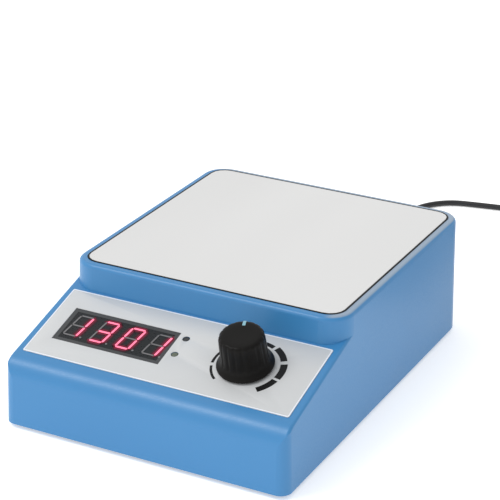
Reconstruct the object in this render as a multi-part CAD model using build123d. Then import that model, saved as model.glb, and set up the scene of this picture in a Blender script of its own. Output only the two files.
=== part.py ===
from build123d import *
import os
from math import cos, pi, radians, sin, tan

# Compact laboratory magnetic stirrer: a moulded housing with a sloping control panel in
# front and a flat steel plate on top.  Under the plate a small motor spins a bar with two
# magnets.  Power comes from a plug-in adapter through a thin lead into a jack at the back.
# Millimetres, +Z up, the front looks along -Y, and the origin lies on the table under the
# middle of the footprint.

# ---------------------------------------------------------------- driving dimensions
WIDTH = 133.0                # footprint of the housing, left to right
DEPTH = 187.0                # footprint of the housing, front to back
DRAFT = 1.5                  # degrees that every outer wall leans inwards
LEAN = tan(radians(DRAFT))
WALL = 2.5
FOOT_HEIGHT = 2.0            # the housing's lower edge stands this far off the table
FRONT_CORNER = 5.0           # plan radius of the two front corners
BOX_CORNER = 12.6            # plan radius of the raised box's corners, at the lower edge

PLATE_TOP = FOOT_HEIGHT + 54.8
PLATE_THICKNESS = 1.0
GASKET_THICKNESS = 0.5
RIM_TOP = PLATE_TOP - 0.2    # the plate stands this little proud of the rim
RIM_WIDTH = 3.4
RIM_ROUNDING = 2.0
PLATE_GAP = 0.5
TOP_WALL = 2.3
BOX_FRONT_Y = -41.2          # front wall of the raised box, at the rim

PANEL_SLOPE = 15.8           # degrees from level
FRONT_HEIGHT = 27.8          # where the front wall and the panel's plane would meet
FRONT_ROUNDING = 9.0
PANEL_EDGE_ROUNDING = 1.2
SLOPE_END_Y = -20.0          # the panel's plane runs on inside the raised box up to here

LABEL_SIZE = (124.4, 42.8)
LABEL_CENTRE_V = 30.6        # distances up the slope, from the front edge of its plane
LABEL_THICKNESS = 0.3
WINDOW_SIZE = (51.5, 21.0)
WINDOW_CENTRE = (-28.6, 30.5)
LED_RADIUS = 1.5
LED_PLACES = [(0.84, 38.2), (0.84, 27.95)]
KNOB_PLACE = (32.3, 31.2)
POINTER_ANGLE = 106.3        # degrees, counted from the right hand side of the panel

JACK_X = -14.0
JACK_Z = 24.0
CORD_RADIUS = 1.55

# ---------------------------------------------------------------- worked-out places
SLOPE = radians(PANEL_SLOPE)
PANEL_Z = FOOT_HEIGHT + FRONT_HEIGHT
PANEL_Y = -DEPTH / 2 + LEAN * FRONT_HEIGHT
RIM_HEIGHT = RIM_TOP - FOOT_HEIGHT
BOX_BASE_Y = BOX_FRONT_Y - LEAN * RIM_HEIGHT
RIM_HALF_WIDTH = WIDTH / 2 - LEAN * RIM_HEIGHT
RIM_BACK_Y = DEPTH / 2 - LEAN * RIM_HEIGHT
RECESS_SIZE = (2 * (RIM_HALF_WIDTH - RIM_WIDTH), RIM_BACK_Y - BOX_FRONT_Y - 2 * RIM_WIDTH)
RECESS_FLOOR = PLATE_TOP - PLATE_THICKNESS - GASKET_THICKNESS
RECESS_CORNER = BOX_CORNER - LEAN * RIM_HEIGHT - RIM_WIDTH
CEILING = RECESS_FLOOR - TOP_WALL
SPIN_Y = (RIM_BACK_Y + BOX_FRONT_Y) / 2      # the drive's upright axis, at x = 0
REAR_FACE_Y = DEPTH / 2 - LEAN * (JACK_Z - FOOT_HEIGHT)

# Two working frames: x and y on the panel with z standing off it, and the jack's axis
panel = Plane(origin=(0, PANEL_Y, PANEL_Z), x_dir=(1, 0, 0), z_dir=(0, -sin(SLOPE), cos(SLOPE)))
jack_axis = Plane(origin=(JACK_X, 0, JACK_Z), x_dir=(-1, 0, 0), z_dir=(0, 1, 0))
on_panel = panel.location
on_jack = jack_axis.location


# ---------------------------------------------------------------- small building helpers
def write(node, *shapes):
    """Write one sub-part: a single solid, or a group of separate ones."""
    solids = [solid for shape in shapes for solid in shape.solids()]
    export_step(solids[0] if len(solids) == 1 else Compound(solids), f"parts/{node}.step")


def rod(radius, low, high, x=0.0, y=0.0):
    """Cylinder along z between two heights."""
    bottom = (Align.CENTER, Align.CENTER, Align.MIN)
    return Pos(x, y, low) * Cylinder(radius, high - low, align=bottom)


def ring(outer, inner, low, high, x=0.0, y=0.0):
    return rod(outer, low, high, x, y) - rod(inner, low, high, x, y)


def taper(low_radius, high_radius, low, high):
    """Cone along z between two heights."""
    bottom = (Align.CENTER, Align.CENTER, Align.MIN)
    return Pos(0, 0, low) * Cone(low_radius, high_radius, high - low, align=bottom)


def block(x_size, y_size, low, high, x=0.0, y=0.0, corner=0.0):
    """Upright slab, with round corners in plan where a corner radius is given."""
    outline = RectangleRounded(x_size, y_size, corner) if corner else Rectangle(x_size, y_size)
    return Pos(x, y, low) * extrude(outline, high - low)


def hexagon(across_flats, hole_radius, low, high):
    nut = extrude(RegularPolygon(across_flats / 2, 6, major_radius=False), high - low)
    return Pos(0, 0, low) * nut - rod(hole_radius, low, high)


def screw(shank_radius, length, head_radius, head_height):
    """Pan-head screw pointing down: its head stands on z = 0 and carries a cross recess."""
    head = rod(head_radius, 0, head_height)
    head = fillet(head.edges().group_by(Axis.Z)[-1], head_height * 0.4)
    recess = block(head_radius * 1.1, 0.6, head_height * 0.5, head_height)
    recess += block(0.6, head_radius * 1.1, head_height * 0.5, head_height)
    return head + rod(shank_radius, -length, 0) - recess


def wire(points, radius, bend):
    """Round wire through its points, with the same bend at each of them."""
    path = FilletPolyline(*points, radius=bend)
    return sweep(Plane(origin=path @ 0, z_dir=path % 0) * Circle(radius), path=path)


def cord_tube(name, points):
    """Cord tube of straight runs joined by arcs as large as the two runs allow."""
    corners = [Vector(*point) for point in points]
    runs = [after - before for before, after in zip(corners, corners[1:])]
    radii = []
    for before, after in zip(runs, runs[1:]):
        half_turn = radians(before.get_angle(after)) / 2
        radii.append(0.45 * min(before.length, after.length) / tan(half_turn))
    path = FilletPolyline(*points, radius=radii)
    tube = sweep(Plane(origin=path @ 0, z_dir=path % 0) * Circle(CORD_RADIUS), path=path)
    expected = pi * CORD_RADIUS ** 2 * path.length
    print(name, "length", round(path.length, 1), "volume ratio", round(tube.volume / expected, 4))
    print("   radii", [round(radius) for radius in radii])
    return tube, path.length


def drafted_block(inset, front_y, top, front_corner, back_corner):
    """Block from the lower edge up to a height, whose four walls lean in by the draft."""
    back_y = DEPTH / 2 - inset
    outline = Pos(0, (front_y + back_y) / 2) * Rectangle(WIDTH - 2 * inset, back_y - front_y)
    if front_corner:
        outline = fillet(outline.vertices().group_by(Axis.Y)[0], front_corner)
    outline = fillet(outline.vertices().group_by(Axis.Y)[-1], back_corner)
    return Pos(0, 0, FOOT_HEIGHT) * extrude(outline, top - FOOT_HEIGHT, taper=DRAFT)


def under_panel(inset, rounding):
    """Everything under the panel's plane and behind the front wall, both moved in by inset."""
    front_y = -DEPTH / 2 + inset
    slope_y = PANEL_Y + inset * sin(SLOPE)
    slope_z = PANEL_Z - inset * cos(SLOPE)
    low_z = FOOT_HEIGHT - 5
    # the front wall's line y = front_y + LEAN * (z - foot) meets the slope's line here
    meet_z = slope_z + tan(SLOPE) * (front_y - LEAN * FOOT_HEIGHT - slope_y)
    meet_z = meet_z / (1 - tan(SLOPE) * LEAN)
    meet_y = front_y + LEAN * (meet_z - FOOT_HEIGHT)
    outline = Plane.YZ * Polygon(
        (front_y + LEAN * (low_z - FOOT_HEIGHT), low_z),
        (meet_y, meet_z),
        (SLOPE_END_Y, slope_z + tan(SLOPE) * (SLOPE_END_Y - slope_y)),
        (SLOPE_END_Y, low_z),
        align=None,
    )
    corner = outline.vertices().sort_by_distance(Vector(0, meet_y, meet_z))[0]
    return extrude(fillet([corner], rounding), WIDTH, both=True)


os.makedirs("parts", exist_ok=True)

# ---------------------------------------------------------------- housing
BOSS_PLACES = [(-55.0, -83.5), (55.0, -83.5), (-53.0, 80.0), (53.0, 80.0)]
BOSS_RADIUS = 3.5
COVER_TOP = FOOT_HEIGHT + WALL
BRACKET_TOP = CEILING - 12.5
BRACKET_POST_X = 42.0
BOARD_POSTS = [(-58.0, 18.5), (6.0, 18.5), (-58.0, 45.5), (6.0, 45.5)]
DISPLAY_DEPTH = 0.3           # the display's face lies this far under the label's
DISPLAY_HEIGHT = 8.0
BOARD_FACE = LABEL_THICKNESS - DISPLAY_DEPTH - DISPLAY_HEIGHT
SCREW_RADIUS = 1.45
SMALL_SCREW_RADIUS = 1.1
POT_THREAD_RADIUS = 3.5
FLANGE_RADIUS = 8.0
FLANGE_THICKNESS = 1.2
JACK_RADIUS = 5.4
JACK_PAD = 1.5

# the side edges are rounded all the way round the profile before the corners are cut back
lower_part = drafted_block(0, -DEPTH / 2, RIM_TOP, 0, BOX_CORNER) & under_panel(0, FRONT_ROUNDING)
side_edges = [
    edge for edge in lower_part.edges()
    if abs(edge.center().X) > 60 and edge.center().Y < SLOPE_END_Y - 1
    and FOOT_HEIGHT + 1 < edge.center().Z < RIM_TOP - 1
]
lower_part = fillet(side_edges, PANEL_EDGE_ROUNDING)
lower_part &= drafted_block(0, -DEPTH / 2, RIM_TOP, FRONT_CORNER, BOX_CORNER)
raised_box = drafted_block(0, BOX_BASE_Y, RIM_TOP, BOX_CORNER, BOX_CORNER)
raised_box = fillet(raised_box.edges().group_by(Axis.Z)[-1], RIM_ROUNDING)
housing = lower_part + raised_box

lower_space = drafted_block(WALL, -DEPTH / 2 + WALL, CEILING, FRONT_CORNER - WALL, BOX_CORNER - WALL)
lower_space &= under_panel(WALL, FRONT_ROUNDING - WALL)
box_space = drafted_block(WALL, BOX_BASE_Y + WALL, CEILING, BOX_CORNER - WALL, BOX_CORNER - WALL)
housing -= box_space
housing -= lower_space
inside = lower_space + box_space

# posts hang from the ceiling and the panel, and are trimmed to the space inside
posts = [rod(BOSS_RADIUS, COVER_TOP, CEILING, x, y) for x, y in BOSS_PLACES]
posts += [rod(4.0, BRACKET_TOP, CEILING, x, SPIN_Y) for x in (-BRACKET_POST_X, BRACKET_POST_X)]
posts += [on_panel * rod(2.3, BOARD_FACE, -WALL, x, v) for x, v in BOARD_POSTS]
for post in posts:
    housing += post & inside
housing += on_jack * rod(11, REAR_FACE_Y - WALL - JACK_PAD, REAR_FACE_Y - 0.5)

for x, y in BOSS_PLACES:
    housing -= rod(SCREW_RADIUS, COVER_TOP, COVER_TOP + 12, x, y)
for x in (-BRACKET_POST_X, BRACKET_POST_X):
    housing -= rod(SCREW_RADIUS, BRACKET_TOP, BRACKET_TOP + 10, x, SPIN_Y)
for x, v in BOARD_POSTS:
    housing -= on_panel * rod(SMALL_SCREW_RADIUS, BOARD_FACE, -WALL - 0.5, x, v)

recess = block(*RECESS_SIZE, RECESS_FLOOR, RIM_TOP + 1, 0, SPIN_Y, RECESS_CORNER)
window = block(*WINDOW_SIZE, -WALL - 1, 1, *WINDOW_CENTRE)
housing -= recess
housing -= on_panel * window
for x, v in LED_PLACES:
    housing -= on_panel * rod(LED_RADIUS + 0.1, -WALL - 1, 1, x, v)
housing -= on_panel * rod(POT_THREAD_RADIUS + 0.1, -WALL - 1, 1, *KNOB_PLACE)
housing -= on_jack * rod(JACK_RADIUS, REAR_FACE_Y - 12, REAR_FACE_Y + 2)
housing -= on_jack * rod(FLANGE_RADIUS + 0.1, REAR_FACE_Y - FLANGE_THICKNESS, REAR_FACE_Y + 2)
write("housing_shell", housing)

# ---------------------------------------------------------------- bottom cover and feet
FOOT_PLACES = [(-50.0, -72.0), (50.0, -72.0), (-50.0, 70.0), (50.0, 70.0)]
FOOT_RADIUS = 6.0
FOOT_SEAT = 0.5
COVER_GAP = 0.25
DRIVER_SIZE = (82.0, 44.0)
DRIVER_CENTRE = (-5.0, -50.0)
DRIVER_LOW = COVER_TOP + 4.0
DRIVER_TOP = DRIVER_LOW + 1.6
DRIVER_POSTS = [(DRIVER_CENTRE[0] + side * 37, DRIVER_CENTRE[1] + end * 18)
                for side in (-1, 1) for end in (-1, 1)]
HEAD_HEIGHT = 1.5

edge_gap = WALL + COVER_GAP
bottom_cover = drafted_block(edge_gap, -DEPTH / 2 + edge_gap, COVER_TOP,
                             FRONT_CORNER - edge_gap, BOX_CORNER - edge_gap)
for x, y in DRIVER_POSTS:
    bottom_cover += rod(3.0, COVER_TOP, DRIVER_LOW, x, y)
    bottom_cover -= rod(SMALL_SCREW_RADIUS, FOOT_HEIGHT + 1, DRIVER_LOW, x, y)
for x, y in BOSS_PLACES:
    bottom_cover -= rod(SCREW_RADIUS + 0.2, FOOT_HEIGHT, COVER_TOP, x, y)
    bottom_cover -= rod(3.1, FOOT_HEIGHT, FOOT_HEIGHT + HEAD_HEIGHT, x, y)
for x, y in FOOT_PLACES:
    bottom_cover -= rod(FOOT_RADIUS, FOOT_HEIGHT, FOOT_HEIGHT + FOOT_SEAT, x, y)
write("bottom_cover", bottom_cover)

cover_screw = Rot(180, 0, 0) * screw(SCREW_RADIUS, 11, 2.8, HEAD_HEIGHT)
cover_screw = Pos(0, 0, FOOT_HEIGHT + HEAD_HEIGHT) * cover_screw
write("cover_screws", *[Pos(x, y, 0) * cover_screw for x, y in BOSS_PLACES])

foot = rod(FOOT_RADIUS, 0, FOOT_HEIGHT + FOOT_SEAT)
foot = fillet(foot.edges().group_by(Axis.Z)[0], 0.6)
write("rubber_feet", *[Pos(x, y, 0) * foot for x, y in FOOT_PLACES])

# ---------------------------------------------------------------- top plate
gasket_size = [side - 0.2 for side in RECESS_SIZE]
plate_size = [side - 2 * PLATE_GAP for side in RECESS_SIZE]
gasket_top = RECESS_FLOOR + GASKET_THICKNESS
write("plate_gasket", block(*gasket_size, RECESS_FLOOR, gasket_top, 0, SPIN_Y, RECESS_CORNER - 0.1))
top_plate = block(*plate_size, gasket_top, PLATE_TOP, 0, SPIN_Y, RECESS_CORNER - PLATE_GAP)
top_plate = chamfer(top_plate.edges().group_by(Axis.Z)[-1], 0.15)
write("top_plate", top_plate)

# ---------------------------------------------------------------- panel label and display
panel_label = block(*LABEL_SIZE, 0, LABEL_THICKNESS, 0, LABEL_CENTRE_V, 0.8) - window
for x, v in LED_PLACES:
    panel_label -= rod(LED_RADIUS + 0.1, 0, LABEL_THICKNESS, x, v)
panel_label -= rod(POT_THREAD_RADIUS + 0.1, 0, LABEL_THICKNESS, *KNOB_PLACE)
write("panel_label", on_panel * panel_label)

display_face = LABEL_THICKNESS - DISPLAY_DEPTH
write("display_module", on_panel * block(50.3, 19.0, BOARD_FACE, display_face, *WINDOW_CENTRE))

BOARD_THICKNESS = 1.6
board_low = BOARD_FACE - BOARD_THICKNESS
display_board = block(71, 34, board_low, BOARD_FACE, -25.5, 32, 1)
for x, v in BOARD_POSTS:
    display_board -= rod(SMALL_SCREW_RADIUS + 0.1, board_low, BOARD_FACE, x, v)
write("display_board", on_panel * display_board)

board_screw = Pos(0, 0, board_low) * Rot(180, 0, 0) * screw(SMALL_SCREW_RADIUS, 6.5, 2.0, 1.3)
write("display_board_screws", *[on_panel * Pos(x, v, 0) * board_screw for x, v in BOARD_POSTS])

# each lamp is a round lens on a collar, with two legs down to the board
lamp = rod(LED_RADIUS, -4.5, LABEL_THICKNESS - 0.1)
lamp = fillet(lamp.edges().group_by(Axis.Z)[-1], 0.5)
lamp += rod(1.9, -5.5, -4.5)
for side in (-0.9, 0.9):
    lamp += block(0.5, 0.5, BOARD_FACE, -5.5, side)
write("indicator_lamps", *[on_panel * Pos(x, v, 0) * lamp for x, v in LED_PLACES])

# ---------------------------------------------------------------- potentiometer
POT_RADIUS = 8.25
POT_DEPTH = 9.0
SHAFT_RADIUS = 3.0
THREAD_TOP = 4.5
WASHER_TOP = LABEL_THICKNESS + 0.5
NUT_TOP = WASHER_TOP + 2.0
KNOB_LOW = 1.0
KNOB_TOP = 17.0
on_knob = on_panel * Pos(KNOB_PLACE[0], KNOB_PLACE[1], 0)

pot_low = -WALL - POT_DEPTH
pot_case = rod(POT_RADIUS, pot_low, -WALL) - rod(POT_RADIUS - 0.8, pot_low + 0.8, -WALL - 1.2)
pot_case += rod(POT_THREAD_RADIUS, -WALL, THREAD_TOP)
pot_case -= rod(SHAFT_RADIUS + 0.05, -WALL - 1.2, THREAD_TOP)
lug_slot = block(14, 3, -9.8, -7.8, 0, -POT_RADIUS)
write("pot_case", on_knob * (pot_case - lug_slot))
write("pot_washer", on_knob * ring(6, POT_THREAD_RADIUS, LABEL_THICKNESS, WASHER_TOP))
write("pot_nut", on_knob * hexagon(10, POT_THREAD_RADIUS, WASHER_TOP, NUT_TOP))
lug_strip = block(13.6, 1.6, -9.7, -7.9, 0, -POT_RADIUS - 0.7)
for x in (-5, 0, 5):
    lug_strip += block(1.6, 8, -9.2, -8.4, x, -POT_RADIUS - 3.5)
write("pot_lugs", on_knob * lug_strip)
write("pot_shaft", on_knob * rod(SHAFT_RADIUS, pot_low + 3.2, KNOB_TOP - 2.5))
wiper = rod(6.2, pot_low + 1.6, pot_low + 3.2) - block(14, 4, pot_low + 1, pot_low + 4, 0, 6)
write("pot_wiper", on_knob * wiper)

# ---------------------------------------------------------------- knob
KNOB_BODY_RADIUS = 9.7
KNOB_SKIRT_RADIUS = 12.1
FLUTES = 18
knob_outline = Plane.XZ * make_face(Polyline(
    (0, KNOB_LOW), (KNOB_SKIRT_RADIUS, KNOB_LOW), (KNOB_SKIRT_RADIUS, KNOB_LOW + 1.2),
    (KNOB_BODY_RADIUS + 0.9, KNOB_LOW + 2.3), (KNOB_BODY_RADIUS, KNOB_LOW + 4.0),
    (KNOB_BODY_RADIUS - 0.2, KNOB_TOP), (0, KNOB_TOP), close=True))
knob = revolve(knob_outline, Axis.Z)
knob = fillet(knob.edges().group_by(Axis.Z)[-1], 1.2)
for flute in range(FLUTES):
    angle = 2 * pi * (flute + 0.5) / FLUTES
    reach = KNOB_BODY_RADIUS + 0.75
    knob -= rod(1.2, KNOB_LOW + 4.5, KNOB_TOP, reach * cos(angle), reach * sin(angle))
knob -= rod(8.0, KNOB_LOW, THREAD_TOP + 0.7)
knob -= rod(SHAFT_RADIUS, THREAD_TOP, KNOB_TOP - 2.5)
knob = Rot(0, 0, POINTER_ANGLE) * knob
# an inlaid line runs over the knob's top edge and a little way down its side
line_inlay = block(3.7, 1.3, KNOB_TOP - 0.7, KNOB_TOP, KNOB_BODY_RADIUS - 0.4 - 3.7 / 2)
line_inlay += block(0.9, 1.3, KNOB_TOP - 9, KNOB_TOP, KNOB_BODY_RADIUS - 0.4 - 0.45)
line_inlay = Rot(0, 0, POINTER_ANGLE) * line_inlay
write("speed_knob", on_knob * (knob - line_inlay))
write("knob_pointer", on_knob * line_inlay)

# ---------------------------------------------------------------- motor
MOTOR_RADIUS = 12.2
BRACKET_THICKNESS = 1.5
MOTOR_FACE = BRACKET_TOP - BRACKET_THICKNESS
MOTOR_LOW = MOTOR_FACE - 30.8
CAN_LOW = MOTOR_LOW + 3.8
AXLE_RADIUS = 1.0
AXLE_TOP = CEILING - 2.5
BEARING_RADIUS = 2.5
MOTOR_SCREW_X = 8.0
at_motor = Pos(0, SPIN_Y, 0)

motor_can = rod(MOTOR_RADIUS, CAN_LOW, MOTOR_FACE) - rod(MOTOR_RADIUS - 1, CAN_LOW, MOTOR_FACE - 1)
motor_can += rod(3.0, MOTOR_FACE, BRACKET_TOP)
motor_can -= rod(BEARING_RADIUS, MOTOR_FACE - 1, BRACKET_TOP)
for x in (-MOTOR_SCREW_X, MOTOR_SCREW_X):
    motor_can -= rod(1.25, MOTOR_FACE - 1, MOTOR_FACE, x)
write("motor_can", at_motor * motor_can)

end_cap = rod(MOTOR_RADIUS, MOTOR_LOW, CAN_LOW) + rod(3.2, MOTOR_LOW - 1.2, MOTOR_LOW)
end_cap -= rod(8.5, MOTOR_LOW + 1.6, CAN_LOW)
end_cap -= rod(BEARING_RADIUS, MOTOR_LOW - 0.8, MOTOR_LOW + 1.6)
write("motor_end_cap", at_motor * end_cap)

front_bearing = ring(BEARING_RADIUS, AXLE_RADIUS + 0.05, MOTOR_FACE - 1, BRACKET_TOP)
rear_bearing = ring(BEARING_RADIUS, AXLE_RADIUS + 0.05, MOTOR_LOW - 0.6, MOTOR_LOW + 1.4)
write("motor_bearings", at_motor * front_bearing, at_motor * rear_bearing)

stack_low, stack_high = CAN_LOW + 6, MOTOR_FACE - 5
field = ring(MOTOR_RADIUS - 1, 9.4, stack_low - 1, stack_high + 1)
field -= block(9, 40, stack_low - 1, stack_high + 1)
write("motor_field_magnets", at_motor * field)

armature = rod(8.9, stack_low, stack_high)
for turn in (0, 120, 240):
    armature -= Rot(0, 0, turn) * block(5, 2.4, stack_low, stack_high, 7.2)
armature += rod(3.0, CAN_LOW, stack_low)
armature -= rod(AXLE_RADIUS, CAN_LOW, stack_high)
write("motor_armature", at_motor * armature)
write("motor_shaft", at_motor * rod(AXLE_RADIUS, MOTOR_LOW - 0.4, AXLE_TOP))

brush = block(2.4, 2.4, CAN_LOW + 1.2, CAN_LOW + 3.6, 4.4) + block(0.4, 2.4, MOTOR_LOW + 1.6,
                                                                   CAN_LOW + 4.2, 5.8)
write("motor_brushes", *[at_motor * Rot(0, 0, turn) * brush for turn in (0, 180)])
tabs = [block(2, 4, MOTOR_LOW + 1.4, MOTOR_LOW + 1.9, x, -MOTOR_RADIUS - 1.6) for x in (-4, 4)]
write("motor_tabs", *[at_motor * (tab - rod(MOTOR_RADIUS, MOTOR_LOW, CAN_LOW)) for tab in tabs])

# ---------------------------------------------------------------- motor bracket
bracket = block(96, 30, MOTOR_FACE, BRACKET_TOP, 0, 0, 4) - rod(3.0, MOTOR_FACE, BRACKET_TOP)
for x in (-MOTOR_SCREW_X, MOTOR_SCREW_X):
    bracket -= rod(1.35, MOTOR_FACE, BRACKET_TOP, x)
for x in (-BRACKET_POST_X, BRACKET_POST_X):
    bracket -= rod(SCREW_RADIUS + 0.2, MOTOR_FACE, BRACKET_TOP, x)
write("motor_bracket", at_motor * bracket)

motor_screw = Pos(0, 0, BRACKET_TOP) * screw(1.25, 3.5, 2.2, 1.5)
write("motor_screws", *[at_motor * Pos(x, 0, 0) * motor_screw for x in (-MOTOR_SCREW_X, MOTOR_SCREW_X)])
bracket_screw = Pos(0, 0, MOTOR_FACE) * Rot(180, 0, 0) * screw(SCREW_RADIUS, 10, 2.8, 1.8)
write("bracket_screws", *[at_motor * Pos(x, 0, 0) * bracket_screw
                          for x in (-BRACKET_POST_X, BRACKET_POST_X)])

# ---------------------------------------------------------------- magnet carrier
CARRIER_LENGTH = 64.0
CARRIER_WIDTH = 16.0
CARRIER_TOP = CEILING - 1.5
CARRIER_LOW = CARRIER_TOP - 6.0
HUB_LOW = CARRIER_LOW - 4.0
MAGNET_X = 23.0
MAGNET_RADIUS = 6.0
MAGNET_DEPTH = 5.0

carrier = Pos(0, 0, CARRIER_LOW) * extrude(SlotOverall(CARRIER_LENGTH, CARRIER_WIDTH), 6.0)
carrier += rod(4.5, HUB_LOW, CARRIER_LOW)
carrier -= rod(AXLE_RADIUS, HUB_LOW, AXLE_TOP)
for x in (-MAGNET_X, MAGNET_X):
    carrier -= rod(MAGNET_RADIUS, CARRIER_TOP - MAGNET_DEPTH, CARRIER_TOP, x)
# the set screw lies along -Y through the hub's wall and bears on the shaft
across_hub = Pos(0, 0, (HUB_LOW + CARRIER_LOW) / 2) * Rot(90, 0, 0)
carrier -= across_hub * rod(1.25, AXLE_RADIUS, 5.0)
write("magnet_carrier", at_motor * carrier)
write("drive_magnets", *[at_motor * rod(MAGNET_RADIUS, CARRIER_TOP - MAGNET_DEPTH, CARRIER_TOP, x)
                         for x in (-MAGNET_X, MAGNET_X)])
set_screw = rod(1.25, AXLE_RADIUS, 4.2) - Pos(0, 0, 2.9) * extrude(RegularPolygon(0.7, 6), 1.3)
write("carrier_set_screw", at_motor * across_hub * set_screw)

# ---------------------------------------------------------------- speed sensor
SENSOR_X = 22.0
SENSOR_Y = SPIN_Y - 8.0
sensor_board = block(10, 9, BRACKET_TOP, BRACKET_TOP + 1, SENSOR_X, SENSOR_Y)
sensor_chip = block(4, 3, BRACKET_TOP + 1, BRACKET_TOP + 2.6, SENSOR_X, SENSOR_Y + 2)
write("speed_sensor", sensor_board, sensor_chip)

# ---------------------------------------------------------------- driver board
driver_x, driver_y = DRIVER_CENTRE
driver_board = block(*DRIVER_SIZE, DRIVER_LOW, DRIVER_TOP, driver_x, driver_y, 1)
for x, y in DRIVER_POSTS:
    driver_board -= rod(SMALL_SCREW_RADIUS + 0.1, DRIVER_LOW, DRIVER_TOP, x, y)
write("driver_board", driver_board)
driver_screw = Pos(0, 0, DRIVER_TOP) * screw(SMALL_SCREW_RADIUS, 5, 2.0, 1.3)
write("driver_board_screws", *[Pos(x, y, 0) * driver_screw for x, y in DRIVER_POSTS])
write("driver_capacitors", rod(5, DRIVER_TOP, DRIVER_TOP + 13, -32, -50),
      rod(3.2, DRIVER_TOP, DRIVER_TOP + 9, -22, -56))
write("driver_chips", block(14, 7.5, DRIVER_TOP, DRIVER_TOP + 2.6, -5, -52),
      block(5, 4, DRIVER_TOP, DRIVER_TOP + 1.8, 8, -56))
heat_sink = block(20, 3, DRIVER_TOP, DRIVER_TOP + 18, 20, -42)
for x in (12, 16, 20, 24, 28):
    heat_sink += block(1.2, 7, DRIVER_TOP, DRIVER_TOP + 18, x, -40)
write("heat_sink", heat_sink)
transistor = block(10, 4.4, DRIVER_TOP + 3.5, DRIVER_TOP + 13, 20, -45.7)
for x in (17.5, 20, 22.5):
    transistor += block(0.8, 0.8, DRIVER_TOP, DRIVER_TOP + 3.5, x, -45.7)
write("power_transistor", transistor)

HEADER_TOP = DRIVER_TOP + 6.0
HEADER_BACK_Y = driver_y + 20.5
jack_header_x, motor_header_x, sensor_header_x = -32.0, -18.0, -3.0
front_header_y = driver_y - 18.0
pot_header_x, display_header_x = 20.0, -18.0
headers = [block(8, 6, DRIVER_TOP, HEADER_TOP, x, HEADER_BACK_Y - 3)
           for x in (jack_header_x, motor_header_x, sensor_header_x)]
headers += [block(12, 5, DRIVER_TOP, HEADER_TOP, x, front_header_y)
            for x in (pot_header_x, display_header_x)]
write("wire_headers", *headers)

# ---------------------------------------------------------------- jack in the rear wall
BARREL_RADIUS = 2.75
jack_back = REAR_FACE_Y - 17
dc_jack = rod(JACK_RADIUS, jack_back, REAR_FACE_Y - FLANGE_THICKNESS)
dc_jack += rod(FLANGE_RADIUS, REAR_FACE_Y - FLANGE_THICKNESS, REAR_FACE_Y)
dc_jack -= rod(BARREL_RADIUS + 0.1, REAR_FACE_Y - 10, REAR_FACE_Y)
dc_jack -= rod(1.0, jack_back, REAR_FACE_Y - 10)
write("dc_jack", on_jack * dc_jack)
centre_pin = rod(1.0, jack_back - 3, REAR_FACE_Y - 1.5)
sleeve_tab = block(2.4, 0.5, jack_back - 5, jack_back, 0, 4)
write("jack_contacts", on_jack * centre_pin, on_jack * sleeve_tab)
nut_high = REAR_FACE_Y - WALL - JACK_PAD
write("jack_nut", on_jack * hexagon(14, JACK_RADIUS, nut_high - 2.5, nut_high))

# ---------------------------------------------------------------- wiring inside the housing
WIRE_RADIUS = 0.6
header_z = DRIVER_TOP + 3
tab_y = SPIN_Y - MOTOR_RADIUS - 3.6
tab_z = MOTOR_LOW + 1.65
write("motor_leads", *[wire([
    (x, tab_y, tab_z), (x, tab_y - 7, tab_z), (x + drift / 2, -8, tab_z + 1),
    (x + drift, -20, header_z), (x + drift, HEADER_BACK_Y, header_z)], WIRE_RADIUS, 2.5)
    for x, drift in ((-4, motor_header_x + 4 - 1.5), (4, motor_header_x - 4 + 1.5))])
jack_end_y = jack_back - 3
write("jack_leads", *[wire([
    (JACK_X, jack_end_y - dy, z), (JACK_X, jack_end_y - dy - 5, z), (-34 + side, 52, 12),
    (jack_header_x + side, 20, 8), (jack_header_x + side, -10, 8),
    (jack_header_x + side, -21, header_z), (jack_header_x + side, HEADER_BACK_Y, header_z)],
    WIRE_RADIUS, 2.5) for side, dy, z in ((-1.5, 2.0, JACK_Z + 4), (1.5, 0.0, JACK_Z))])
sensor_z = BRACKET_TOP + 0.6
write("sensor_leads", *[wire([
    (SENSOR_X + offset, SENSOR_Y - 4.5, sensor_z), (SENSOR_X + offset, SENSOR_Y - 10, sensor_z),
    (SENSOR_X - 10 + offset, -8, 26), (sensor_header_x + offset, -20, header_z),
    (sensor_header_x + offset, HEADER_BACK_Y, header_z)], WIRE_RADIUS, 2.5)
    for offset in (-1.8, 0.0, 1.8)])
lug_end = on_knob * Pos(0, -POT_RADIUS - 7.5, -8.8)
lug_y, lug_z = lug_end.position.Y, lug_end.position.Z
write("pot_leads", *[wire([
    (KNOB_PLACE[0] + lug, lug_y, lug_z), (KNOB_PLACE[0] + lug, lug_y - 2.5, lug_z - 0.7),
    (pot_header_x + lug * 0.7, lug_y + 1, 19.5), (pot_header_x + lug * 0.7, front_header_y, 17.5),
    (pot_header_x + lug * 0.7, front_header_y, HEADER_TOP)], WIRE_RADIUS, 0.5)
    for lug in (-5, 0, 5)])
leads_top = (on_panel * Pos(0, 20, board_low)).position
leads_bend = (on_panel * Pos(0, 20, board_low - 4)).position
write("display_leads", *[wire([
    (display_header_x + offset, leads_top.Y, leads_top.Z),
    (display_header_x + offset, leads_bend.Y, leads_bend.Z),
    (display_header_x + offset, front_header_y, HEADER_TOP + 3),
    (display_header_x + offset, front_header_y, HEADER_TOP)], WIRE_RADIUS, 1.2)
    for offset in (-4, -2, 0, 2, 4)])

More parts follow.
